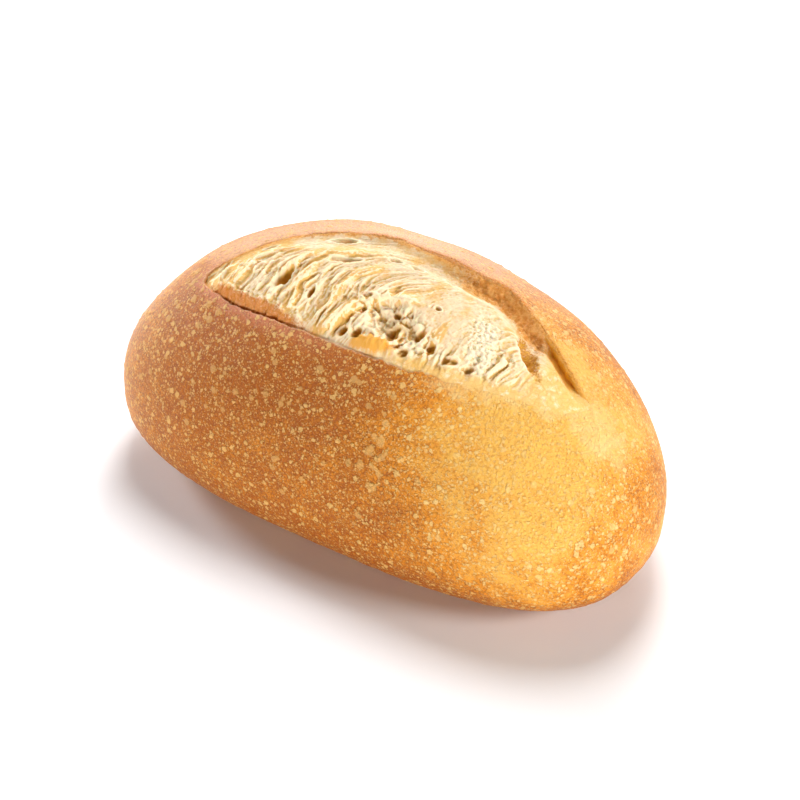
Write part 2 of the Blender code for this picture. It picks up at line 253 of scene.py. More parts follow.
def score_y(angle):
    """The outline's y, by a closed smooth curve through LIP_Y, with the kinks of the far lip."""
    place = angle / math.tau * len(LIP_Y)
    i = np.floor(place).astype(int)
    t = place - i
    a, b, c, d = (LIP_Y[(i + k) % len(LIP_Y)] for k in (-1, 0, 1, 2))
    y = b + 0.5 * t * (c - a + t * (2.0 * a - 5.0 * b + 4.0 * c - d + t * (3.0 * (b - c) + d - a)))
    x = score_x(angle)
    kinks = sum(push * np.exp(-(((x - at) / reach) ** 2)) for at, push, reach in LIP_KINKS)
    return y + np.clip(3.0 * np.sin(angle), 0.0, 1.0) * kinks


def lips_at(x):
    """The near and the far lip's y at places along the score."""
    angle = np.arccos(np.clip((x - SCORE_MIDDLE) / SCORE_HALF_LENGTH, -1.0, 1.0))
    return score_y(math.tau - angle), score_y(angle)


def lip_strength(x):
    """The lips fade into the skin towards the right end."""
    return 1.0 - smooth(LIP_FADE_START, LIP_FADE_END, x)


def gap_strength(x):
    """The opening under the far lip runs on further than the lip stands proud."""
    return 1.0 - smooth(GAP_FADE_START, GAP_FADE_END, x)


def far_proud(x):
    """How much of its full height the far lip has: less of it towards the left end."""
    return FAR_LIP_LEFT + (1.0 - FAR_LIP_LEFT) * smooth(FAR_RISE_START, FAR_RISE_END, x)


def far_drop(x):
    """0 where the far lip lies on the crumb, and 1 further right, where the crumb sinks below it."""
    return smooth(FAR_DROP_START, FAR_DROP_END, x)


def far_side(angle):
    """1 along the far lip and 0 along the near one."""
    return smooth(0.0, 0.5, np.sin(angle))


# %% [markdown]
# ## Crust
#
# A bowl on a wheel could be spun, but a roll isn't round. So the crust starts as a ball, whose
# rings of latitude are then sent to their places one by one: the middle of the base, the curve
# under the belly, the side, the lip, and last the wall that turns down under the crumb. The
# ball is closed, so the crust is closed too, and its faces already point outwards.

# %% The lip's edge
LIP_RAGGED, LIP_RAGGED_RIGHT = 0.00030, 0.00055
LIP_RAGGED_LENGTH = 0.0021
LIP_UNEVEN, LIP_UNEVEN_LENGTH = 0.35, 0.004
NEAR_LIP_ROUND, FAR_LIP_ROUND, FAR_LIP_ROUND_RIGHT = 0.0005, 0.0004, 0.0006
LIP_TURN = 0.75 * math.pi
FAR_OVERHANG = 0.0002
TROUGH_DEPTH = 0.0075


def lip_place(angle):
    """The lip's ragged line in plan, and the direction across it towards the crumb."""
    x, y = score_x(angle), score_y(angle)
    step = 0.01
    dx = score_x(angle + step) - score_x(angle - step)
    dy = score_y(angle + step) - score_y(angle - step)
    length = np.hypot(dx, dy)
    nx, ny = -dy / length, dx / length
    frayed = (1.0 - far_side(angle)) * smooth(0.002, 0.014, x)
    amount = LIP_RAGGED + (LIP_RAGGED_RIGHT - LIP_RAGGED) * frayed
    tear = amount * gap_strength(x) * rough(flat_points(x, y), LIP_RAGGED_LENGTH, 3)
    return x + nx * tear, y + ny * tear, nx, ny


def lip_height(angle, x, y):
    """How proud of the loaf the crest of the lip stands, uneven as a tear is."""
    side = far_side(angle)
    near_height = NEAR_LIP_HEIGHT * (1.0 - smooth(NEAR_FADE_START, NEAR_FADE_END, x))
    far_height = FAR_LIP_HEIGHT * far_proud(x)
    uneven = 1.0 + LIP_UNEVEN * rough(flat_points(x, y), LIP_UNEVEN_LENGTH, 2, 5.0)
    return (side * far_height + (1.0 - side) * near_height) * lip_strength(x) * uneven


def lip_ring(angle, turn):
    """A ring round the rolled edge of the lip: turn 0 is the crest, pi hangs under it."""
    x, y, nx, ny = lip_place(angle)
    far_round = FAR_LIP_ROUND + (FAR_LIP_ROUND_RIGHT - FAR_LIP_ROUND) * far_drop(x)
    radius = NEAR_LIP_ROUND + (far_round - NEAR_LIP_ROUND) * far_side(angle)
    inward = radius * math.sin(turn)
    z = top_height(x, y) + lip_height(angle, x, y) - radius * (1.0 - math.cos(turn))
    return flat_points(x + nx * inward, y + ny * inward, z)


def wall_ring(angle, t):
    """The torn wall under the lip, from the rolled edge, t = 0, to the trough, t = 1."""
    start = lip_ring(angle, LIP_TURN)
    x, y, nx, ny = lip_place(angle)
    under = FAR_OVERHANG * far_side(angle) * math.sin(min(2.0 * t, 1.0) * 0.5 * math.pi)
    drop = start[:, 2] - (top_height(x, y) - TROUGH_DEPTH)
    return flat_points(start[:, 0] - nx * under, start[:, 1] - ny * under, start[:, 2] - drop * t)


# %% The crust's rings
def under_skin(angle, radius):
    """A ring under the belly: radius 0 is the middle of the base and 1 the belly."""
    cx, cy = np.cos(angle), np.sin(angle)
    scale = radius / plan_radius(cx, cy)
    x, y = to_plan(cx * scale, cy * scale)
    return flat_points(x, y, under_height(radius))


def upper_skin(angle, t):
    """The crust from the lip, t = 0, to the belly, t = 1."""
    lip_x, lip_y, _, _ = lip_place(angle)
    start_x, start_y = to_unit(lip_x, lip_y)
    ray_x, ray_y = np.cos(angle), np.sin(angle)
    scale = 1.0 / plan_radius(ray_x, ray_y)
    part = math.sin(0.5 * math.pi * t)
    x, y = to_plan(start_x + (ray_x * scale - start_x) * part, start_y + (ray_y * scale - start_y) * part)
    if t >= 1.0:
        return flat_points(x, y, BELLY_HEIGHT)
    z = top_height(x, y)
    away = np.hypot(x - lip_x, y - lip_y)
    ridge = lip_height(angle, lip_x, lip_y) * np.exp(-((away / LIP_SPREAD) ** 2))
    return flat_points(x, y, z + ridge)


def trough_floor(angle, f):
    """The hidden bottom of the crust, from its wall, f = 0, to one point, f = 1."""
    x, y, _, _ = lip_place(angle)
    middle = float(LIP_Y.mean())
    x, y = x + (SCORE_MIDDLE - x) * f, y + (middle - y) * f
    return flat_points(x, y, top_height(x, y) - TROUGH_DEPTH)


AROUND = 430
BASE_RINGS, UNDER_RINGS, UPPER_RINGS, LIP_RINGS, WALL_RINGS, FLOOR_RINGS = 6, 34, 158, 10, 16, 4
# Above 1 the upper rings crowd towards the lip, where the form is finest.
RING_CROWDING = 1.25


def crust_rings():
    """Each ring as a function of the angle, from the middle of the base to the hidden trough."""
    rings = [lambda a, r=CONTACT_RADIUS * k / BASE_RINGS: under_skin(a, r) for k in range(1, BASE_RINGS)]
    start = math.asin(CONTACT_RADIUS)
    for k in range(UNDER_RINGS):
        radius = math.sin(start + (0.5 * math.pi - start) * k / UNDER_RINGS)
        rings.append(lambda a, r=radius: under_skin(a, r))
    for k in range(UPPER_RINGS, -1, -1):
        rings.append(lambda a, t=(k / UPPER_RINGS) ** RING_CROWDING: upper_skin(a, t))
    for k in range(1, LIP_RINGS + 1):
        rings.append(lambda a, turn=LIP_TURN * k / LIP_RINGS: lip_ring(a, turn))
    for k in range(1, WALL_RINGS + 1):
        rings.append(lambda a, t=k / WALL_RINGS: wall_ring(a, t))
    for k in range(1, FLOOR_RINGS + 1):
        rings.append(lambda a, f=k / (FLOOR_RINGS + 1.0): trough_floor(a, f))
    return rings


def mesh_object(name, bm):
    """The bmesh as a smooth-shaded object at the origin."""
    mesh = bpy.data.meshes.new(name)
    bm.to_mesh(mesh)
    bm.free()
    mesh.shade_smooth()
    made = bpy.data.objects.new(name, mesh)
    scene.collection.objects.link(made)
    return made


def places_of(mesh):
    """The vertices' places, one row each."""
    table = np.empty(len(mesh.vertices) * 3)
    mesh.vertices.foreach_get("co", table)
    return table.reshape(-1, 3)


def move_to(mesh, places):
    """Sends each vertex to its own row."""
    mesh.vertices.foreach_set("co", np.ascontiguousarray(places).ravel())
    mesh.update()


def normals_of(mesh):
    """The vertices' outward directions, one row each."""
    table = np.empty(len(mesh.vertices) * 3)
    mesh.vertices.foreach_get("normal", table)
    return table.reshape(-1, 3)


def paint(mesh, name, values):
    """Keeps one number for each vertex, for the material to read."""
    layer = mesh.attributes.new(name, "FLOAT", "POINT")
    layer.data.foreach_set("value", np.ascontiguousarray(values, dtype=np.float32))


# %% Shape the crust
rings = crust_rings()
bm = bmesh.new()
bmesh.ops.create_uvsphere(bm, u_segments=AROUND, v_segments=len(rings) + 1, radius=1.0)
crust = mesh_object("crust", bm)
ball = places_of(crust.data)
latitude = np.arcsin(np.clip(ball[:, 2], -1.0, 1.0)) / math.pi + 0.5
ring_of = np.rint(latitude * (len(rings) + 1)).astype(int) - 1
angle_of = np.arctan2(ball[:, 1], ball[:, 0]) % math.tau
skin = np.empty_like(ball)
skin[ring_of < 0] = (0.0, SPINE_SHIFT, 0.0)
skin[ring_of >= len(rings)] = trough_floor(np.zeros(1), 1.0)[0]
for number, ring in enumerate(rings):
    row = ring_of == number
    skin[row] = ring(angle_of[row])
move_to(crust.data, skin)
print("crust:", len(skin), "vertices in", len(rings), "rings")

# %% [markdown]
# ## The crust's relief
#
# A baked skin is never smooth. The hand that shaped it left slow waves, the belly's edge is
# pressed into fine wrinkles where it spread on the stone, and gas lifted hundreds of small
# blisters. Each is a push along the surface's own normal, which is how a sculptor would add it.

# %% Raise the crust's relief
WRINKLE_HEIGHT, WRINKLE_SIZE = 0.00016, np.array((0.0034, 0.0034, 0.0009))
WRINKLE_FULL, WRINKLE_END = 0.004, 0.020
GRAIN_HEIGHT, GRAIN_LENGTH = 0.00005, 0.0016
LIP_CLEARANCE_RINGS = 12.0
FIRST_UPPER = BASE_RINGS - 1 + UNDER_RINGS
LAST_UPPER = FIRST_UPPER + UPPER_RINGS
outside = (ring_of >= BASE_RINGS) & (ring_of <= LAST_UPPER)
to_lip = np.clip((LAST_UPPER - ring_of) / LIP_CLEARANCE_RINGS, 0.0, 1.0)
relief = np.where(ring_of >= FIRST_UPPER, CRUST_WAVE * rough(skin, CRUST_WAVE_LENGTH), 0.0)
wrinkled = (1.0 - smooth(WRINKLE_FULL, WRINKLE_END, skin[:, 2])) * smooth(0.0, 0.002, skin[:, 2])
relief += WRINKLE_HEIGHT * wrinkled * rough(skin / WRINKLE_SIZE, 1.0, 2, 3.0)
relief += GRAIN_HEIGHT * rough(skin, GRAIN_LENGTH, 2, 9.0)
relief[~outside] = 0.0
print("waves, wrinkles and grain up to", round(1000.0 * relief.max(), 2), "mm")

# %% Scatter the large blisters
BLISTERS = 330
BLISTER_RADIUS, CLUSTER_RADIUS = (0.00035, 0.00085), (0.0004, 0.0009)
BLISTER_HEIGHT, BLISTER_LOWEST = 0.00016, 0.003
CLUSTER = Vector((0.0140, -0.0290, 0.0285))
CLUSTER_SIZE, CLUSTER_COUNT = 0.0052, 18

dice = np.random.default_rng(7)
tree = KDTree(len(skin))
for number, place in enumerate(skin.tolist()):
    tree.insert(place, number)
tree.balance()
candidates = np.flatnonzero(outside & (skin[:, 2] > BLISTER_LOWEST) & (to_lip > 0.9))
weights = 1.0 - 0.75 * smooth(0.015, 0.050, skin[candidates, 0])
picked = dice.choice(candidates, BLISTERS, p=weights / weights.sum())
centres = [(Vector(skin[i]), dice.uniform(*BLISTER_RADIUS)) for i in picked]
for _ in range(CLUSTER_COUNT):
    spot = tree.find(CLUSTER + Vector(dice.normal(0.0, 0.5 * CLUSTER_SIZE, 3)))[0]
    centres.append((spot, dice.uniform(*CLUSTER_RADIUS)))
blister = np.zeros(len(skin))
for centre, radius in centres:
    for _, number, distance in tree.find_range(centre, 2.0 * radius):
        if outside[number]:
            blister[number] = max(blister[number], 1.0 - 0.5 * distance / radius)
relief += BLISTER_HEIGHT * smooth(0.35, 0.85, blister)
print(len(centres), "large blisters")

# %% Push the crust out along its normals
# A wave may carry it past the solid's box, so each half of the plan is then drawn in to fit.
INSIDE_THE_BOX = 0.9998
skin += normals_of(crust.data) * relief[:, None]
box_low, box_high = np.array(cad_box)[:, :2] * INSIDE_THE_BOX
reached = np.where(skin < 0.0, skin.min(axis=0), skin.max(axis=0))[:, :2]
allowed = np.where(skin[:, :2] < 0.0, box_low, box_high)
skin[:, :2] *= np.minimum(allowed / reached, 1.0)
move_to(crust.data, skin)
print("the crust reaches", [round(1000.0 * float(v), 1) for v in skin.max(axis=0)], "mm")

# %% [markdown]
# ## Crumb
#
# Where the score tore open, the crumb shows: a foam of bubbles, pulled into strands. Its surface
# starts as a flat grid whose rows follow the two lips. The rim is drawn down and gathered to a
# point deep inside, which closes the mesh where nobody sees it. The grid is then raised to the
# broad form of the tear, and the foam is cut into it.

# %% The torn surface's broad form
GUTTER_DEPTH = 0.0002
NEAR_STEP, NEAR_STEP_WIDTH = 0.0024, 0.0014
STEP_TIP_START, STEP_TIP_END = -0.038, -0.027
STEP_FADE_START, STEP_FADE_END = -0.020, -0.003
FAR_DROP_LEFT, FAR_DROP_RIGHT = 0.0004, 0.0024
FAR_SLOPE, FAR_FOOT, FAR_LEVEL = 0.0028, 0.0036, 0.0078
FAR_MEET, FAR_MEET_WIDTH = 0.0006, 0.0022
SLIT_START, SLIT_END = 0.0300, 0.0335
SLIT_DEPTH, SLIT_WIDTH = 0.0021, 0.0036
CRUMB_MARGIN, MARGIN_SLOPE, NARROWEST = 0.0024, 0.9, 0.003
CRUMB_ROOT = Vector((0.003, -0.008, 0.027))
SKIRT = 0.006
CRUMB_LONG, CRUMB_ACROSS = 470, 200
# The golden flap, as an oval: centre x, y, half length, half width, height, and its heading.
PETAL = (0.0054, -0.0191, 0.0056, 0.0017, 0.0014, 10.0)


def reach_of(shape, x, y):
    """0 in the middle of an oval pore or hollow and 1 on its edge."""
    px, py, half_length, half_width, _, heading = shape
    turn = math.radians(heading)
    along = ((x - px) * math.cos(turn) + (y - py) * math.sin(turn)) / half_length
    across = ((y - py) * math.cos(turn) - (x - px) * math.sin(turn)) / half_width
    return np.hypot(along, across)


def step_strength(x):
    """Where along the near lip the crumb stands up behind it as a torn wall."""
    return smooth(STEP_TIP_START, STEP_TIP_END, x) * (1.0 - smooth(STEP_FADE_START, STEP_FADE_END, x))


def broad_height(x, y, ragged=0.0):
    """The torn surface without its foam: it steps up behind the near lip and sinks below the far one."""
    near, far = lips_at(x)
    far = np.maximum(far, near + NARROWEST)
    strength = lip_strength(x)
    level_out = 1.0 - smooth(0.10, 1.0, (y - near) / (far - near))
    rise = smooth(0.0, NEAR_STEP_WIDTH, y - near - ragged)
    z = top_height(x, y) + NEAR_STEP * step_strength(x) * rise * level_out
    z -= GUTTER_DEPTH * strength * (1.0 - rise)
    drop = FAR_DROP_LEFT + (FAR_DROP_RIGHT - FAR_DROP_LEFT) * far_drop(x)
    sink = drop * smooth(0.0, FAR_SLOPE, far - y) * (1.0 - smooth(FAR_FOOT, FAR_LEVEL, far - y))
    meet = FAR_MEET * strength * far_proud(x) * (1.0 - smooth(0.0, FAR_MEET_WIDTH, far - y))
    in_slit = smooth(SLIT_START, SLIT_END, x)
    z += (1.0 - in_slit) * (meet - sink)
    z -= in_slit * gap_strength(x) * SLIT_DEPTH * (1.0 - smooth(0.5, 1.0, (far - y) / SLIT_WIDTH))
    z += PETAL[4] * (1.0 - smooth(0.3, 1.1, reach_of(PETAL, x, y)))
    past = np.maximum(np.abs(x - SCORE_MIDDLE) - SCORE_HALF_LENGTH, 0.0)
    return z - MARGIN_SLOPE * (np.maximum(np.maximum(near - y, y - far), 0.0) + past)


# %% Lay the crumb's grid
def drawn_out(bm):
    """Extrudes the mesh's open rim and gives back the new vertices."""
    rim = [edge for edge in bm.edges if edge.is_boundary]
    made = bmesh.ops.extrude_edge_only(bm, edges=rim)["geom"]
    return [item for item in made if isinstance(item, bmesh.types.BMVert)]


bm = bmesh.new()
bmesh.ops.create_grid(bm, x_segments=CRUMB_LONG, y_segments=CRUMB_ACROSS, size=0.5)
for vert in drawn_out(bm):
    vert.co.z = -1.0
bmesh.ops.pointmerge(bm, verts=drawn_out(bm), merge_co=Vector((0.0, 0.0, -2.0)))
bmesh.ops.recalc_face_normals(bm, faces=bm.faces)
crumb = mesh_object("crumb", bm)
grid = places_of(crumb.data)
level = np.rint(grid[:, 2]).astype(int)
x = SCORE_MIDDLE + 2.0 * grid[:, 0] * (SCORE_HALF_LENGTH + CRUMB_MARGIN)
near, far = lips_at(x)
y = near - CRUMB_MARGIN + (grid[:, 1] + 0.5) * (far - near + 2.0 * CRUMB_MARGIN)
print("crumb:", len(grid), "vertices, faces point out:", crumb.data.polygons[0].normal.z > 0.0)

# %% [markdown]
# ## Foam, strands and pores
#
# Bubbles that share thin walls are what a cellular noise draws: for any point it gives the
# distances to the nearest and the next nearest of scattered centres, and a wall stands where the
# two are equal. Stretching its space along the tear turns round bubbles into pulled strands.
# The few large pores and hollows that give this roll its face are listed one by one.

# %% Pores and hollows, listed one by one
# Each is centre x, y, half length, half width, depth, and its heading in degrees.
HOLLOWS = (
    (0.0074, -0.0138, 0.0098, 0.0042, 0.0018, 172.0),
    (0.0310, -0.0044, 0.0056, 0.0015, 0.0022, 139.0),
)
PORES = (
    (-0.0352, -0.0140, 0.0028, 0.0005, 0.0016, 78.0),
    (-0.0360, -0.0102, 0.0016, 0.0004, 0.0012, 60.0),
    (-0.0308, -0.0035, 0.0027, 0.0005, 0.0015, 21.0),
    (-0.0283, -0.0060, 0.0014, 0.0005, 0.0016, 45.0),
    (-0.0251, -0.0108, 0.0016, 0.0005, 0.0016, 60.0),
    (-0.0184, -0.0150, 0.0029, 0.0013, 0.0034, 82.0),
    (-0.0152, 0.0004, 0.0026, 0.0010, 0.0030, 20.0),
    (-0.0112, -0.0154, 0.0013, 0.0006, 0.0020, 95.0),
    (-0.0104, -0.0061, 0.0031, 0.0008, 0.0022, 31.0),
    (-0.0014, -0.0187, 0.0012, 0.0009, 0.0016, 60.0),
    (0.0014, -0.0182, 0.0013, 0.0008, 0.0015, 70.0),
    (0.0062, -0.0118, 0.0009, 0.0008, 0.0011, 0.0),
    (0.0078, -0.0156, 0.0020, 0.0013, 0.0012, 80.0),
    (0.0130, -0.0138, 0.0015, 0.0011, 0.0013, 70.0),
    (0.0164, -0.0150, 0.0016, 0.0010, 0.0013, 100.0),
    (0.0120, -0.0178, 0.0013, 0.0009, 0.0011, 30.0),
    (0.0207, -0.0154, 0.0020, 0.0009, 0.0010, 20.0),
    (0.0248, -0.0146, 0.0015, 0.0007, 0.0009, 25.0),
    (-0.0020, -0.0008, 0.0014, 0.0006, 0.0014, 10.0),
    (0.0030, -0.0004, 0.0016, 0.0007, 0.0018, 5.0),
    (0.0105, 0.0008, 0.0018, 0.0008, 0.0022, -5.0),
    (0.0127, -0.0074, 0.0008, 0.0005, 0.0010, 0.0),
)
PORE_RIM, PORE_RIM_WIDTH = 0.00022, 0.22

edge_noise = 0.22 * rough(flat_points(x, y), 0.0022, 2, 21.0)
hollow = sum(shape[4] * (1.0 - smooth(0.2, 1.1, reach_of(shape, x, y) + edge_noise)) for shape in HOLLOWS)
pore, rim_of = np.zeros(len(x)), np.zeros(len(x))
for shape in PORES:
    reach = reach_of(shape, x, y) + edge_noise
    pore = np.maximum(pore, shape[4] * (1.0 - smooth(0.45, 1.05, reach)))
    rim_of = np.maximum(rim_of, np.exp(-(((reach - 1.15) / PORE_RIM_WIDTH) ** 2)))
print(len(PORES), "pores by hand, the deepest", round(1000.0 * pore.max(), 1), "mm")

# %% Strand space
STRAND_SPACING, STRAND_LENGTH = 0.0016, 0.0058
STRAND_STRAIGHT, STRAND_SWEEP = 0.30, 3.1
ROUND_CELL = 0.0019


def cells(points, seed=0.0):
    """The gap between the nearest two centres, 0 on a wall, and a random number for the bubble."""
    gap, kind = np.empty(len(points)), np.empty(len(points))
    for number, spot in enumerate((points + seed).tolist()):
        reach, centre = noise.voronoi(spot)
        gap[number] = reach[1] - reach[0]
        kind[number] = noise.cell(centre[0] * 7.3)
    return gap, kind


spread = np.maximum(far - near, NARROWEST)
w = np.clip((y - near) / spread, 0.0, 1.0)
bent = np.maximum(w - STRAND_STRAIGHT, 0.0)
sweep = spread * STRAND_SWEEP * bent ** 3
wander = rough(flat_points(x, y), 0.006, 2, 2.0)
across = (x - sweep) / STRAND_SPACING + 0.6 * wander
along = y / STRAND_LENGTH + 0.4 * wander
pit = 1.0 - smooth(0.7, 1.25, reach_of(HOLLOWS[0], x, y) + edge_noise)
honey = flat_points(x / ROUND_CELL + 0.3 * wander, y / ROUND_CELL, 4.0)
strand_gap, strand_kind = cells(flat_points(across, along))
fine_gap, fine_kind = cells(flat_points(2.3 * across, 2.6 * along, 8.0))
honey_gap, honey_kind = cells(honey)
small_gap, small_kind = cells(honey * 2.2, 3.0)
print("foam cells worked out")

# %% Fold the crumb
# Each fold is a height, then the plan places that it runs through.
FOLDS = (
    (0.0005, (-0.0318, -0.0166), (-0.0322, -0.0110), (-0.0300, -0.0073)),
    (0.0007, (-0.0271, -0.0174), (-0.0266, -0.0113), (-0.0250, -0.0081), (-0.0213, -0.0068)),
    (0.0009, (-0.0179, -0.0129), (-0.0174, -0.0092), (-0.0141, -0.0058), (-0.0086, -0.0027)),
    (0.0006, (-0.0129, -0.0185), (-0.0146, -0.0094), (-0.0126, -0.0061), (-0.0095, -0.0032)),
    (0.0006, (-0.0055, -0.0198), (-0.0065, -0.0124), (-0.0056, -0.0085), (-0.0029, -0.0053)),
    (0.0012, (-0.0038, -0.0187), (-0.0025, -0.0161), (-0.0006, -0.0127), (0.0031, -0.0100),
     (0.0079, -0.0089)),
    (0.0005, (0.0096, -0.0173), (0.0083, -0.0121)),
    (0.0005, (0.0164, -0.0173), (0.0166, -0.0100)),
)
FOLD_SLOPE_WIDTH, FOLD_EDGE_WIDTH = 0.0016, 0.00045


def fold_lift(points, x, y):
    """A fold that climbs gently from its left and breaks off sharply on its right."""
    nearest, side = np.full(len(x), np.inf), np.zeros(len(x))
    for (ax, ay), (bx, by) in zip(points, points[1:]):
        length = math.hypot(bx - ax, by - ay)
        ux, uy = (bx - ax) / length, (by - ay) / length
        t = np.clip((x - ax) * ux + (y - ay) * uy, 0.0, length)
        away = np.hypot(x - ax - ux * t, y - ay - uy * t)
        right_of = (x - ax) * uy - (y - ay) * ux
        side = np.where(away < nearest, right_of, side)
        nearest = np.minimum(nearest, away)
    width = np.where(side > 0.0, FOLD_EDGE_WIDTH, FOLD_SLOPE_WIDTH)
    return np.exp(-((nearest / width) ** 2))


fold_noise = rough(flat_points(x, y), 0.0015, 3, 61.0)
fold_x = x + 0.0004 * fold_noise
folds = [fold_lift(shape[1:], fold_x, y) for shape in FOLDS]
folded = sum(shape[0] * lift_of for shape, lift_of in zip(FOLDS, folds))
print(len(folds), "folds, the highest", round(1000.0 * folded.max(), 1), "mm")

# %% Where the foam is quiet
# The membrane is a smooth skin over the bubbles; it and the fuzz are ovals like the hollows.
MEMBRANE = (0.0175, -0.0080, 0.0090, 0.0065, 0.0, 165.0)
FUZZ = (0.0235, -0.0085, 0.0070, 0.0036, 0.0, 115.0)
WALL_RAGGED, WALL_SOFT = 0.0005, 0.0008
FAR_RAGGED, FAR_WALL_START, FAR_WALL_END = 0.0011, 0.0026, 0.0052

membrane = 1.0 - smooth(0.55, 1.25, reach_of(MEMBRANE, x, y) + edge_noise)
fuzz = 1.0 - smooth(0.5, 1.2, reach_of(FUZZ, x, y) + edge_noise)
septum = smooth(0.0325, 0.0365, x)
wall_ragged = 0.0003 + WALL_RAGGED * rough(flat_points(x, 0.0), 0.0015, 3, 71.0)
past_lip = y - near - wall_ragged
wall_near = step_strength(x) * (1.0 - smooth(NEAR_STEP_WIDTH, NEAR_STEP_WIDTH + WALL_SOFT, past_lip))
far_ragged = FAR_RAGGED * rough(flat_points(x, y), 0.0014, 4, 45.0)
wall_far = 1.0 - smooth(FAR_WALL_START, FAR_WALL_END, far - y + far_ragged)
wall_far *= far_drop(x) * (1.0 - smooth(0.029, 0.035, x))
quiet = 1.0 - 0.6 * smooth(0.40, 0.80, w)
for part, share in ((membrane, 0.7), (septum, 0.9), (wall_near, 0.7), (wall_far, 0.65)):
    quiet *= 1.0 - share * part
print("foam at", round(100.0 * float(quiet.mean())), "percent of its full depth on average")

# %% Cut the foam
STRAND_DEPTH, FINE_DEPTH, HONEY_DEPTH = 0.0010, 0.00045, 0.0010
CRUMB_GRAIN, FUZZ_GRAIN, GRAIN_SIZE = 0.00012, 0.00035, 0.0007
TUFT_HEIGHT, TUFT_SIZE = 0.0012, 0.0009


def bubble(gap, wall=0.5):
    """A round-bottomed bubble whose walls meet in a sharp crest: 0 on the wall and 1 in the bubble."""
    return np.sqrt(1.0 - (1.0 - np.clip(gap / wall, 0.0, 1.0)) ** 2)


slope = 3.0 * STRAND_SWEEP * bent ** 2
strands = -STRAND_DEPTH * (0.3 + 0.7 * strand_kind) * bubble(strand_gap) / (1.0 + 0.7 * slope)
strands -= FINE_DEPTH * (0.2 + 0.8 * fine_kind) * bubble(fine_gap) / (1.0 + slope)
foam = -HONEY_DEPTH * (0.3 + 0.7 * honey_kind) * bubble(honey_gap, 0.28)
foam -= FINE_DEPTH * small_kind * bubble(small_gap)
cut = (strands * (1.0 - pit) + foam * pit) * quiet
grain = (CRUMB_GRAIN + FUZZ_GRAIN * fuzz) * rough(flat_points(x, y), GRAIN_SIZE, 3, 31.0)
tuft = TUFT_HEIGHT * rough(flat_points(x, y, 0.6 * y), TUFT_SIZE, 4, 41.0)
tuft *= np.maximum(wall_near, 0.35 * wall_far)
inside = smooth(0.0, 0.0030, np.minimum(y - near, far - y))
lift = inside * (cut - pore + PORE_RIM * rim_of - hollow + folded * quiet)
lift += (0.3 + 0.7 * inside) * (grain + tuft)
print("crumb relief from", round(1000 * lift.min(), 2), "to", round(1000 * lift.max(), 2), "mm")

# %% Raise the crumb
PROBE = 0.0002
z = broad_height(x, y, wall_ragged)
slope_x = (broad_height(x + PROBE, y, wall_ragged) - z) / PROBE
slope_y = (broad_height(x, y + PROBE, wall_ragged) - z) / PROBE
facing = np.stack((-slope_x, -slope_y, np.ones(len(x))), axis=-1)
facing /= np.linalg.norm(facing, axis=1)[:, None]
torn = flat_points(x, y, z) + facing * lift[:, None]
torn[level == -1] = flat_points(x, y, z - SKIRT)[level == -1]
torn[level == -2] = CRUMB_ROOT
move_to(crumb.data, torn)
column = np.rint((grid[:, 0] + 0.5) * CRUMB_LONG).astype(int)
row = np.rint((grid[:, 1] + 0.5) * CRUMB_ACROSS).astype(int)


def blurred(values, reach):
    """Each value's average over the square of grid places around it."""
    table = np.zeros((CRUMB_ACROSS + 1, CRUMB_LONG + 1))
    table[row[level == 0], column[level == 0]] = values[level == 0]
    for axis in (0, 1):
        table = sum(np.roll(table, step, axis) for step in range(-reach, reach + 1)) / (2 * reach + 1)
    return table[row, column]


FINE_REACH, BROAD_REACH = 2, 7
FINE_STAND, BROAD_STAND, PIT_STAND = 0.00010, 0.00040, 0.24
# How far each point stands above its neighbours. It sets painted shade in the crumb's hollows and a
# painted highlight on its crests, and PIT_STAND paints the shaded pit lighter.
fine_stand = (lift - blurred(lift, FINE_REACH)) / FINE_STAND
broad_stand = (lift - blurred(lift, BROAD_REACH)) / BROAD_STAND
stand = 0.5 + 0.25 * np.clip(fine_stand, -1.0, 1.0) + 0.25 * np.clip(broad_stand, -1.0, 1.0)
paint(crumb.data, "stand", stand + PIT_STAND * pit)
paint(crumb.data, "quiet", quiet)
space = crumb.data.attributes.new("strand_space", "FLOAT_VECTOR", "POINT")
strand_place = np.stack((across, along, 0.4 * across), axis=-1)
space.data.foreach_set("vector", strand_place.astype(np.float32).ravel())
print("the crumb's highest point is", round(1000.0 * float(torn[:, 2].max()), 1), "mm up")

# %% [markdown]
# ## Finishes in Python
#
# A material is a sum: so much brown, so much blister. This class holds one output of a shader
# tree and lets Python write those sums as they are spoken, and each sum adds the nodes it needs.


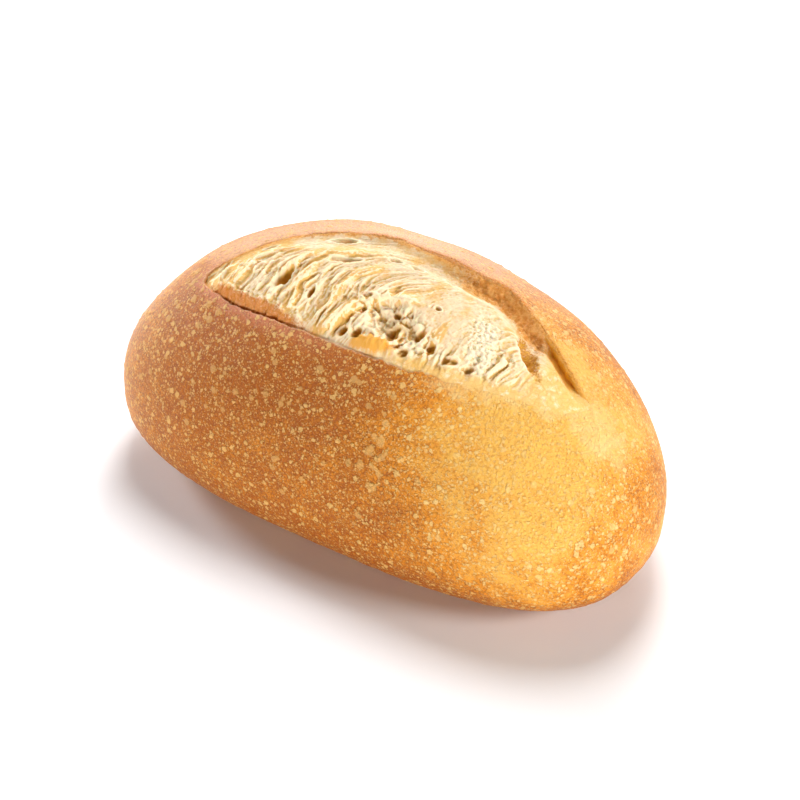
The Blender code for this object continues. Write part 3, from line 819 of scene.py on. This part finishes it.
# %% A socket that Python can do sums on
class Wire:
    """One output of a shader tree. Sums on it add Math nodes; node() adds any other node."""

    def __init__(self, tree, socket=None):
        self.tree, self.socket = tree, socket

    def node(self, kind, settings=None, sockets=None, output=0):
        """Adds a node of this kind: its settings first, then its sockets by name or number."""
        made = self.tree.nodes.new(kind)
        for name, value in (settings or {}).items():
            setattr(made, name, value)
        for name, value in (sockets or {}).items():
            if isinstance(value, Wire):
                self.tree.links.new(value.socket, made.inputs[name])
            else:
                made.inputs[name].default_value = value
        return Wire(self.tree, made.outputs[output])

    def sum(self, operation, *values):
        """Adds one Math node on wires and plain numbers."""
        return self.node("ShaderNodeMath", {"operation": operation}, dict(enumerate(values)))

    def __add__(self, other):
        return self.sum("ADD", self, other)

    def __sub__(self, other):
        return self.sum("SUBTRACT", self, other)

    def __mul__(self, other):
        return self.sum("MULTIPLY", self, other)

    def __rsub__(self, other):
        return self.sum("SUBTRACT", other, self)

    __radd__, __rmul__ = __add__, __mul__

    def ramp(self, low_end, high_end, low_value=0.0, high_value=1.0):
        """low_value below low_end and high_value above high_end, with soft ends."""
        return self.node("ShaderNodeMapRange", {"interpolation_type": "SMOOTHSTEP"},
                         {0: self, 1: low_end, 2: high_end, 3: low_value, 4: high_value})

    def blend(self, first, second):
        """The first colour where this mask is 0 and the second where it is 1."""
        return self.node("ShaderNodeMix", {"data_type": "RGBA"}, {0: self, 6: first, 7: second}, 2)


def new_finish(name):
    """A material, a wire to start its sums from, and its shader."""
    material = bpy.data.materials.new(name)
    material.use_nodes = True
    return material, Wire(material.node_tree), material.node_tree.nodes["Principled BSDF"]


def feed(shader, name, wire):
    """Lets a wire drive one socket of the shader."""
    wire.tree.links.new(wire.socket, shader.inputs[name])


def painted(wire, name):
    """The numbers that paint() kept under this name."""
    return wire.node("ShaderNodeAttribute", {"attribute_name": name}, output=2)


def in_millimetres(wire):
    """Object coordinates counted in millimetres, so that a texture's scale reads as per millimetre."""
    place = wire.node("ShaderNodeTexCoord", output=3)
    return wire.node("ShaderNodeVectorMath", {"operation": "SCALE"}, {0: place, 3: 1000.0})


def stain(wire, place, size, detail=2.0, roughness=0.5):
    """Cloudy noise from 0 to 1 whose patches are about size millimetres wide."""
    sockets = {"Vector": place, "Scale": 1.0 / size, "Detail": detail, "Roughness": roughness}
    return wire.node("ShaderNodeTexNoise", None, sockets)


def cracks(wire, place, size):
    """0 on the walls of a net whose cells are about size millimetres wide."""
    sockets = {"Vector": place, "Scale": 1.0 / size}
    return wire.node("ShaderNodeTexVoronoi", {"feature": "DISTANCE_TO_EDGE"}, sockets)


# %% [markdown]
# ## Crust finish
#
# Crust is dough sugar browned by heat: deepest along the near lip and low on the side, palest at
# the right end. A pale pink painted sheen lies on the skin behind the score and on the left end.
# Over it all lie the blisters, thin dry bubbles that catch the light; their paleness is partly
# their own colour and partly painted highlight.

# %% Toast map, with a painted sheen on the left end
# Each spot is how much browner it is, its centre, and its size along each axis.
# The one that is paler, on the left end, is a painted sheen.
TOAST_AND_SHEEN_SPOTS = (
    (0.30, (-0.014, -0.024, 0.036), (0.030, 0.009, 0.016)),
    (-0.22, (-0.058, -0.010, 0.024), (0.014, 0.020, 0.022)),
    (0.50, (0.042, 0.018, 0.036), (0.024, 0.014, 0.020)),
)
TOAST_LEVEL, TOAST_STAIN, TOAST_STAIN_SIZE = 0.62, 0.10, 0.020
RIGHT_PALER, LOW_BROWNER, END_BROWNER = 0.60, 0.60, 0.34
LOW_LAG = 0.016


def spot_weight(places, centre, size):
    """1 at a centre and fading to 0 a few sizes away, by a size for each axis."""
    away = (places - np.array(centre)) / np.array(size)
    return np.exp(-(away ** 2).sum(axis=1))


skin_x, skin_z = skin[:, 0], skin[:, 2]
toast_and_sheen = TOAST_LEVEL + TOAST_STAIN * rough(skin, TOAST_STAIN_SIZE, 2, 13.0)
toast_and_sheen += sum(amount * spot_weight(skin, centre, size) for amount, centre, size in TOAST_AND_SHEEN_SPOTS)
lag = LOW_LAG * (1.0 - smooth(0.015, 0.036, skin_z))
toast_and_sheen -= RIGHT_PALER * smooth(-0.004, 0.046, skin_x - lag)
toast_and_sheen += LOW_BROWNER * (1.0 - smooth(0.001, 0.014, skin_z)) + END_BROWNER * smooth(0.049, 0.059, skin_x)
paint(crust.data, "toast_and_sheen", np.clip(toast_and_sheen, 0.0, 1.0))
paint(crust.data, "blister", blister)
print("toast from", round(float(toast_and_sheen.min()), 2), "to", round(float(toast_and_sheen.max()), 2))

# %% Masks along the lips and ends
SHEEN_END = ((-0.060, -0.006, 0.020), (0.018, 0.028, 0.026))
CREAM_TIP = ((0.0475, -0.0065, 0.0355), (0.0095, 0.0065, 0.0110))
TORN_SKIN_WIDTH, TORN_SKIN_RAGGED = 0.0040, 0.0016

lip_x, lip_y, _, _ = lip_place(angle_of)
from_lip = np.hypot(skin_x - lip_x, skin[:, 1] - lip_y)
upper = ring_of >= FIRST_UPPER
on_far = far_side(angle_of)
on_near = 1.0 - on_far
# A pale pink painted sheen on the skin behind the far lip, fading towards the right.
painted_sheen = on_far * (1.0 - smooth(0.004, 0.022, from_lip)) * upper * (1.0 - 0.9 * smooth(0.0, 0.034, skin_x))
frayed = from_lip - TORN_SKIN_RAGGED * rough(skin, 0.0030, 3, 17.0)
torn_skin = on_near * smooth(0.012, 0.024, skin_x) * (1.0 - smooth(0.0004, TORN_SKIN_WIDTH, frayed))
near_lip = on_near * (1.0 - smooth(0.0004, 0.0036, from_lip)) * (1.0 - smooth(-0.016, 0.006, skin_x))
# A painted highlight along the crest of the near lip.
lip_highlight = on_near * np.exp(-(((ring_of - LAST_UPPER - 1.0) / 2.5) ** 2))
torn_ring = np.clip((ring_of - LAST_UPPER) / 8.0, 0.0, 1.0)
crust_masks = {
    # The left end gets the same painted sheen.
    "painted_sheen": np.maximum(painted_sheen, 0.75 * spot_weight(skin, *SHEEN_END)),
    "tip": np.clip(np.maximum(1.3 * spot_weight(skin, *CREAM_TIP), torn_skin), 0.0, 1.0),
    "near_lip": near_lip * upper,
    "far_lip": on_far * np.exp(-(((ring_of - LAST_UPPER) / 4.0) ** 2)),
    "lip_highlight": lip_highlight * (1.0 - smooth(-0.004, 0.030, skin_x)),
    "torn": torn_ring,
    "slit_wall": on_far * torn_ring * smooth(0.0285, 0.0325, lip_x),
}
for name, mask in crust_masks.items():
    paint(crust.data, name, mask)
print("crust masks:", *crust_masks)

# %% Crust colours
TOASTED = (0.48, 0.137, 0.012, 1.0)
GOLDEN = (0.80, 0.300, 0.022, 1.0)
PALE = (0.90, 0.510, 0.100, 1.0)
DARK_FLECK = (0.33, 0.075, 0.007, 1.0)
ORANGE_FLECK = (0.62, 0.200, 0.016, 1.0)
BLISTER = (0.84, 0.530, 0.170, 1.0)
PALE_BLISTER = (0.97, 0.720, 0.300, 1.0)
TORN = (0.84, 0.45, 0.150, 1.0)
LIP_HIGHLIGHT = (0.93, 0.58, 0.34, 1.0)
PAINTED_SHEEN = (0.88, 0.52, 0.32, 1.0)
TIP_CREAM = (0.95, 0.72, 0.34, 1.0)
LIP_RED = (0.62, 0.210, 0.100, 1.0)
SLIT_OCHRE = (0.80, 0.37, 0.012, 1.0)

# %% Browned skin
crust_finish, wire, shader = new_finish("baked_crust")
place = in_millimetres(wire)
cloud = stain(wire, place, 5.0, 3.0)
mottle = stain(wire, place, 0.6, 3.0, 0.65)
flour = stain(wire, place, 2.6, 5.0, 0.7)
# How browned the skin is, with the painted sheen on the left end as a paler spot.
heat_and_sheen = painted(wire, "toast_and_sheen") + (cloud - 0.5) * 0.6
brown = heat_and_sheen.ramp(0.05, 0.45).blend(PALE, GOLDEN)
brown = heat_and_sheen.ramp(0.30, 0.85).blend(brown, TOASTED)
fleck = heat_and_sheen.ramp(0.15, 0.60).blend(ORANGE_FLECK, DARK_FLECK)
brown = (mottle.ramp(0.56, 0.38) * heat_and_sheen.ramp(0.0, 0.45, 0.35, 0.80)).blend(brown, fleck)
network = cracks(wire, place, 0.85).ramp(0.14, 0.02)
brown = (network * heat_and_sheen.ramp(0.3, 0.8, 0.0, 0.60)).blend(brown, fleck)
brown = (painted(wire, "near_lip") * mottle.ramp(0.35, 0.60, 0.4, 0.9)).blend(brown, LIP_RED)
# Painted sheen: pale pink on the skin behind the score and on the left end.
brown = (painted(wire, "painted_sheen") * mottle.ramp(0.30, 0.60, 0.35, 0.75)).blend(brown, PAINTED_SHEEN)
creamy = (painted(wire, "tip") * 0.8 + (flour - 0.5) * 1.6).ramp(0.30, 1.10) * 0.50
brown = creamy.blend(brown, TIP_CREAM)


# %% Small blisters
def bubbles(wire, place, spacing, least, most):
    """Round blisters with radii from least to most, on cells that are spacing apart, in millimetres."""
    sockets = {"Vector": place, "Scale": 1.0 / spacing}
    reach = wire.node("ShaderNodeTexVoronoi", None, sockets)
    cell_color = wire.node("ShaderNodeTexVoronoi", None, sockets, 1)
    kind = wire.node("ShaderNodeSeparateColor", None, {0: cell_color})
    size = kind * ((most - least) / spacing) + least / spacing
    return (size - reach).ramp(-0.02 / spacing, 0.09 / spacing)


SWAY = (0.8, 0.8, 0.8)
sway = wire.node("ShaderNodeTexNoise", None, {"Vector": place, "Scale": 1.3, "Detail": 2.0}, 1)
shift = wire.node("ShaderNodeVectorMath", {"operation": "SUBTRACT"}, {0: sway, 1: (0.5, 0.5, 0.5)})
swayed = wire.node("ShaderNodeVectorMath", {"operation": "MULTIPLY_ADD"}, {0: shift, 1: SWAY, 2: place})
drop = bubbles(wire, swayed, 1.7, -0.45, 0.68)
dot = bubbles(wire, swayed, 0.90, 0.04, 0.43)
speck = bubbles(wire, swayed, 0.46, 0.08, 0.25)
large = painted(wire, "blister").ramp(0.45, 0.60)
few = wire.sum("MAXIMUM", drop * 0.80, large * 0.50)
# The blisters are painted paler: partly their own colour, partly painted highlight on each bump.
pale_and_highlight = wire.sum("MAXIMUM", wire.sum("MAXIMUM", dot * 0.78, speck * 0.60), few)
blister_color = heat_and_sheen.ramp(0.20, 0.60).blend(PALE_BLISTER, BLISTER)
brown = (pale_and_highlight * heat_and_sheen.ramp(0.0, 0.35, 0.45, 1.0)).blend(brown, blister_color)

# %% Lips and relief of the crust
brown = (painted(wire, "torn") * 0.85).blend(brown, mottle.ramp(0.45, 0.7).blend(TORN, GOLDEN))
# Painted highlight: a pale pink line on the near lip's crest.
brown = (painted(wire, "lip_highlight") * mottle.ramp(0.60, 0.40, 0.2, 0.9)).blend(brown, LIP_HIGHLIGHT)
brown = (painted(wire, "far_lip") * mottle.ramp(0.35, 0.65, 0.2, 0.9)).blend(brown, ORANGE_FLECK)
brown = (painted(wire, "slit_wall") * 0.9).blend(brown, SLIT_OCHRE)
height = drop * 0.14 + dot * 0.18 + speck * 0.12 + mottle * 0.30 + large * 0.05 - network * 0.08
bump = wire.node("ShaderNodeBump", None, {"Strength": 1.0, "Distance": 0.001, "Height": height})
feed(shader, "Base Color", brown)
feed(shader, "Normal", bump)
feed(shader, "Roughness", mottle.ramp(0.3, 0.7, 0.38, 0.58))
shader.inputs["Specular IOR Level"].default_value = 0.18
crust.data.materials.append(crust_finish)
print("crust finish:", len(crust_finish.node_tree.nodes), "nodes")

# %% [markdown]
# ## Crumb finish
#
# Torn crumb is cream on the crests that stand up and darker golden in its hollows, partly its own
# colour and partly painted highlight and shade, and its pores are painted ochre as shade. It is
# more golden on its left and along its folds, and toasted behind the near lip and under the far
# one; the foot of the wall behind the near lip and the brown hollow carry painted shade too.
# Light goes some way into it, so the pores glow instead of turning black.

# %% Masks on the crumb
crest = 1.0 - smooth(0.02, 0.30, np.where(pit > 0.5, honey_gap, strand_gap))
fine_crest = 1.0 - smooth(0.02, 0.30, np.where(pit > 0.5, small_gap, fine_gap))
petal_reach = reach_of(PETAL, x, y) + 0.8 * edge_noise
# Crests and pore rims are painted pale, partly the crumb's own cream and partly painted highlight; the
# ring round the golden flap is a painted highlight on its rim.
pale_line = np.maximum(crest, 0.6 * fine_crest) * (0.4 + 0.6 * quiet) + 0.5 * rim_of
pale_line += 0.8 * np.exp(-(((petal_reach - 0.75) / 0.12) ** 2))
golden = 0.24 + 0.75 * rough(flat_points(x, y), 0.0040, 3, 51.0) + np.max(folds, axis=0)
golden += 0.2 * septum + 0.75 * (1.0 - smooth(-0.038, -0.022, x))
golden += 0.30 * (1.0 - smooth(0.0015, 0.0060, far - y))
# The foot of the torn wall behind the near lip is painted darker orange: its own colour and painted shade.
wall_low = 1.0 - smooth(0.4 * NEAR_STEP_WIDTH, 1.2 * NEAR_STEP_WIDTH, past_lip)
below_lip = 1.0 - smooth(0.0005, 0.0016, far - y + 0.6 * far_ragged)
far_rim = below_lip * (1.0 - smooth(SLIT_START, SLIT_END, x))
in_slit = smooth(SLIT_START, SLIT_END, x) * gap_strength(x)
slit = in_slit * (1.0 - smooth(0.0006, 0.0017, far - y))
slit_side = in_slit * (1.0 - smooth(0.0008, 0.0034, far - y))
near_skin = (1.0 - smooth(0.0012, 0.0030, y - near)) * smooth(0.006, 0.014, x)
print("the golden flap covers", int((petal_reach < 1.0).sum()), "vertices")

# %% The brown hollow's mask, with painted shade towards its right wall
hollow_x, hollow_y, _, hollow_width, _, heading = HOLLOWS[1]
turn = math.radians(heading)
to_left = ((y - hollow_y) * math.cos(turn) - (x - hollow_x) * math.sin(turn)) / hollow_width
brown_and_shaded_hollow = 1.0 - smooth(0.65, 1.60, reach_of(HOLLOWS[1], x, y) + edge_noise)
# Strongest at the hollow's right wall and fading to its left: painted shade over its brown.
brown_and_shaded_hollow *= 1.0 - smooth(-0.6, 1.3, to_left + 0.6 * fold_noise)
crumb_masks = {
    "pale_line": np.clip(pale_line, 0.0, 1.0),
    "golden": np.clip(golden, 0.0, 1.0),
    "orange": np.clip(1.5 * step_strength(x) * wall_low, 0.0, 1.0),
    "pore_shade": np.clip((pore + 0.35 * hollow) / 0.0022, 0.0, 1.0),
    "brown": np.clip(np.maximum(brown_and_shaded_hollow, slit), 0.0, 1.0),
    "petal": np.maximum(1.0 - smooth(0.6, 1.2, petal_reach), 0.9 * slit_side),
    "far_band": np.maximum(wall_far, 0.9 * far_rim),
    "fuzz": fuzz,
    "skin_like": np.maximum(septum, near_skin),
}
for name, mask in crumb_masks.items():
    paint(crumb.data, name, mask)
print("crumb masks:", *crumb_masks)

# %% Crumb colours
CREAM = (0.96, 0.84, 0.58, 1.0)
FLESH = (0.90, 0.70, 0.45, 1.0)
TOASTED_FLESH = (0.85, 0.50, 0.16, 1.0)
CAVITY = (0.80, 0.52, 0.160, 1.0)
ORANGE = (0.60, 0.20, 0.020, 1.0)
ROSE = (0.68, 0.27, 0.075, 1.0)
SKIN_GOLD = (0.90, 0.57, 0.18, 1.0)
OCHRE = (0.70, 0.37, 0.045, 1.0)
WHITE_FUZZ = (0.97, 0.87, 0.64, 1.0)
BROWN_GOLD = (0.50, 0.19, 0.010, 1.0)
PETAL_GOLD = (0.87, 0.42, 0.050, 1.0)
FAR_GOLD = (0.88, 0.46, 0.130, 1.0)
FAR_ORANGE = (0.70, 0.27, 0.045, 1.0)

# %% Strands and bubbles in colour
crumb_finish, wire, shader = new_finish("torn_crumb")
place = in_millimetres(wire)
fleck = stain(wire, place, 0.45, 3.0, 0.6)
pale_at, stand_at = painted(wire, "pale_line"), painted(wire, "stand")
strand_space = wire.node("ShaderNodeAttribute", {"attribute_name": "strand_space"}, output=1)
streak_sockets = {"Vector": strand_space, "Scale": 4.5, "Detail": 4.0, "Roughness": 0.7, "Distortion": 0.4}
streak = wire.node("ShaderNodeTexNoise", None, streak_sockets)
uneven = (fleck - 0.5) * 0.6 + (streak - 0.5) * (painted(wire, "quiet") * 0.75 + 0.15)
flesh = (painted(wire, "golden") + uneven).ramp(0.10, 0.90).blend(FLESH, TOASTED_FLESH)
# Hollows of the relief are painted darker golden and its crests cream: partly the crumb's own colours,
# partly painted shade and highlight.
flesh = (stand_at + uneven * 0.45).ramp(0.48, 0.12, 0.0, 0.9).blend(flesh, CAVITY)
flesh = ((stand_at + pale_at * 0.25 + uneven * 0.45).ramp(0.62, 1.05) * 0.9).blend(flesh, CREAM)

# %% Skin, toasted walls and hollows, with their painted shade, in colour
skin_tone = stain(wire, place, 1.6, 5.0, 0.7).ramp(0.48, 0.72).blend(SKIN_GOLD, CREAM)
skin_tone = (cracks(wire, place, 1.3).ramp(0.10, 0.02) * 0.35).blend(skin_tone, OCHRE)
flesh = (painted(wire, "skin_like") * 0.88).blend(flesh, skin_tone)
# The torn wall's orange, strongest at its foot, where it also stands for painted shade.
rust = stain(wire, place, 0.7, 4.0, 0.7).ramp(0.42, 0.60).blend(ORANGE, ROSE)
flesh = (painted(wire, "orange") + (fleck - 0.5) * 1.8).ramp(0.20, 0.95, 0.0, 0.92).blend(flesh, rust)
band = stain(wire, place, 1.0, 5.0, 0.75).ramp(0.40, 0.60).blend(FAR_ORANGE, FAR_GOLD)
flesh = (painted(wire, "far_band") + (fleck - 0.5) * 1.3).ramp(0.25, 0.95, 0.0, 0.95).blend(flesh, band)
# Painted shade: pores and hollows turn ochre as they sink.
flesh = painted(wire, "pore_shade").ramp(0.12, 0.7, 0.0, 0.85).blend(flesh, OCHRE)
flesh = (painted(wire, "fuzz") * fleck.ramp(0.35, 0.55)).blend(flesh, WHITE_FUZZ)
# The hollow and the slit's narrow band under the far lip: brown crumb darkened by painted shade.
hollow_brown_and_shade = stain(wire, place, 0.6, 4.0, 0.7).ramp(0.42, 0.62).blend(BROWN_GOLD, OCHRE)
hollow_and_slit_shade = painted(wire, "brown") + (fleck - 0.5) * 1.6 + (streak - 0.5) * 0.8
flesh = hollow_and_slit_shade.ramp(0.25, 0.95, 0.0, 0.95).blend(flesh, hollow_brown_and_shade)
flap = painted(wire, "petal") + uneven * 0.7 - pale_at * 0.3
flesh = flap.ramp(0.20, 0.65, 0.0, 0.9).blend(flesh, PETAL_GOLD)

# %% Relief and glow of the crumb
height = fleck * 0.14 + streak * 0.26
bump = wire.node("ShaderNodeBump", None, {"Strength": 0.9, "Distance": 0.001, "Height": height})
feed(shader, "Base Color", flesh)
feed(shader, "Normal", bump)
CRUMB_SETTINGS = {
    "Roughness": 0.75,
    "Specular IOR Level": 0.2,
    "Subsurface Weight": 0.25,
    "Subsurface Radius": (1.0, 0.5, 0.20),
    "Subsurface Scale": 0.0006,
}
for name, value in CRUMB_SETTINGS.items():
    shader.inputs[name].default_value = value
crumb.data.materials.append(crumb_finish)
print("crumb finish:", len(crumb_finish.node_tree.nodes), "nodes")

# %% Hand the pieces over
for piece in (crust, crumb):
    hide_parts(NODE)
    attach(piece, BODY)
    print(piece.name, sum(len(face.vertices) - 2 for face in piece.data.polygons), "triangles")
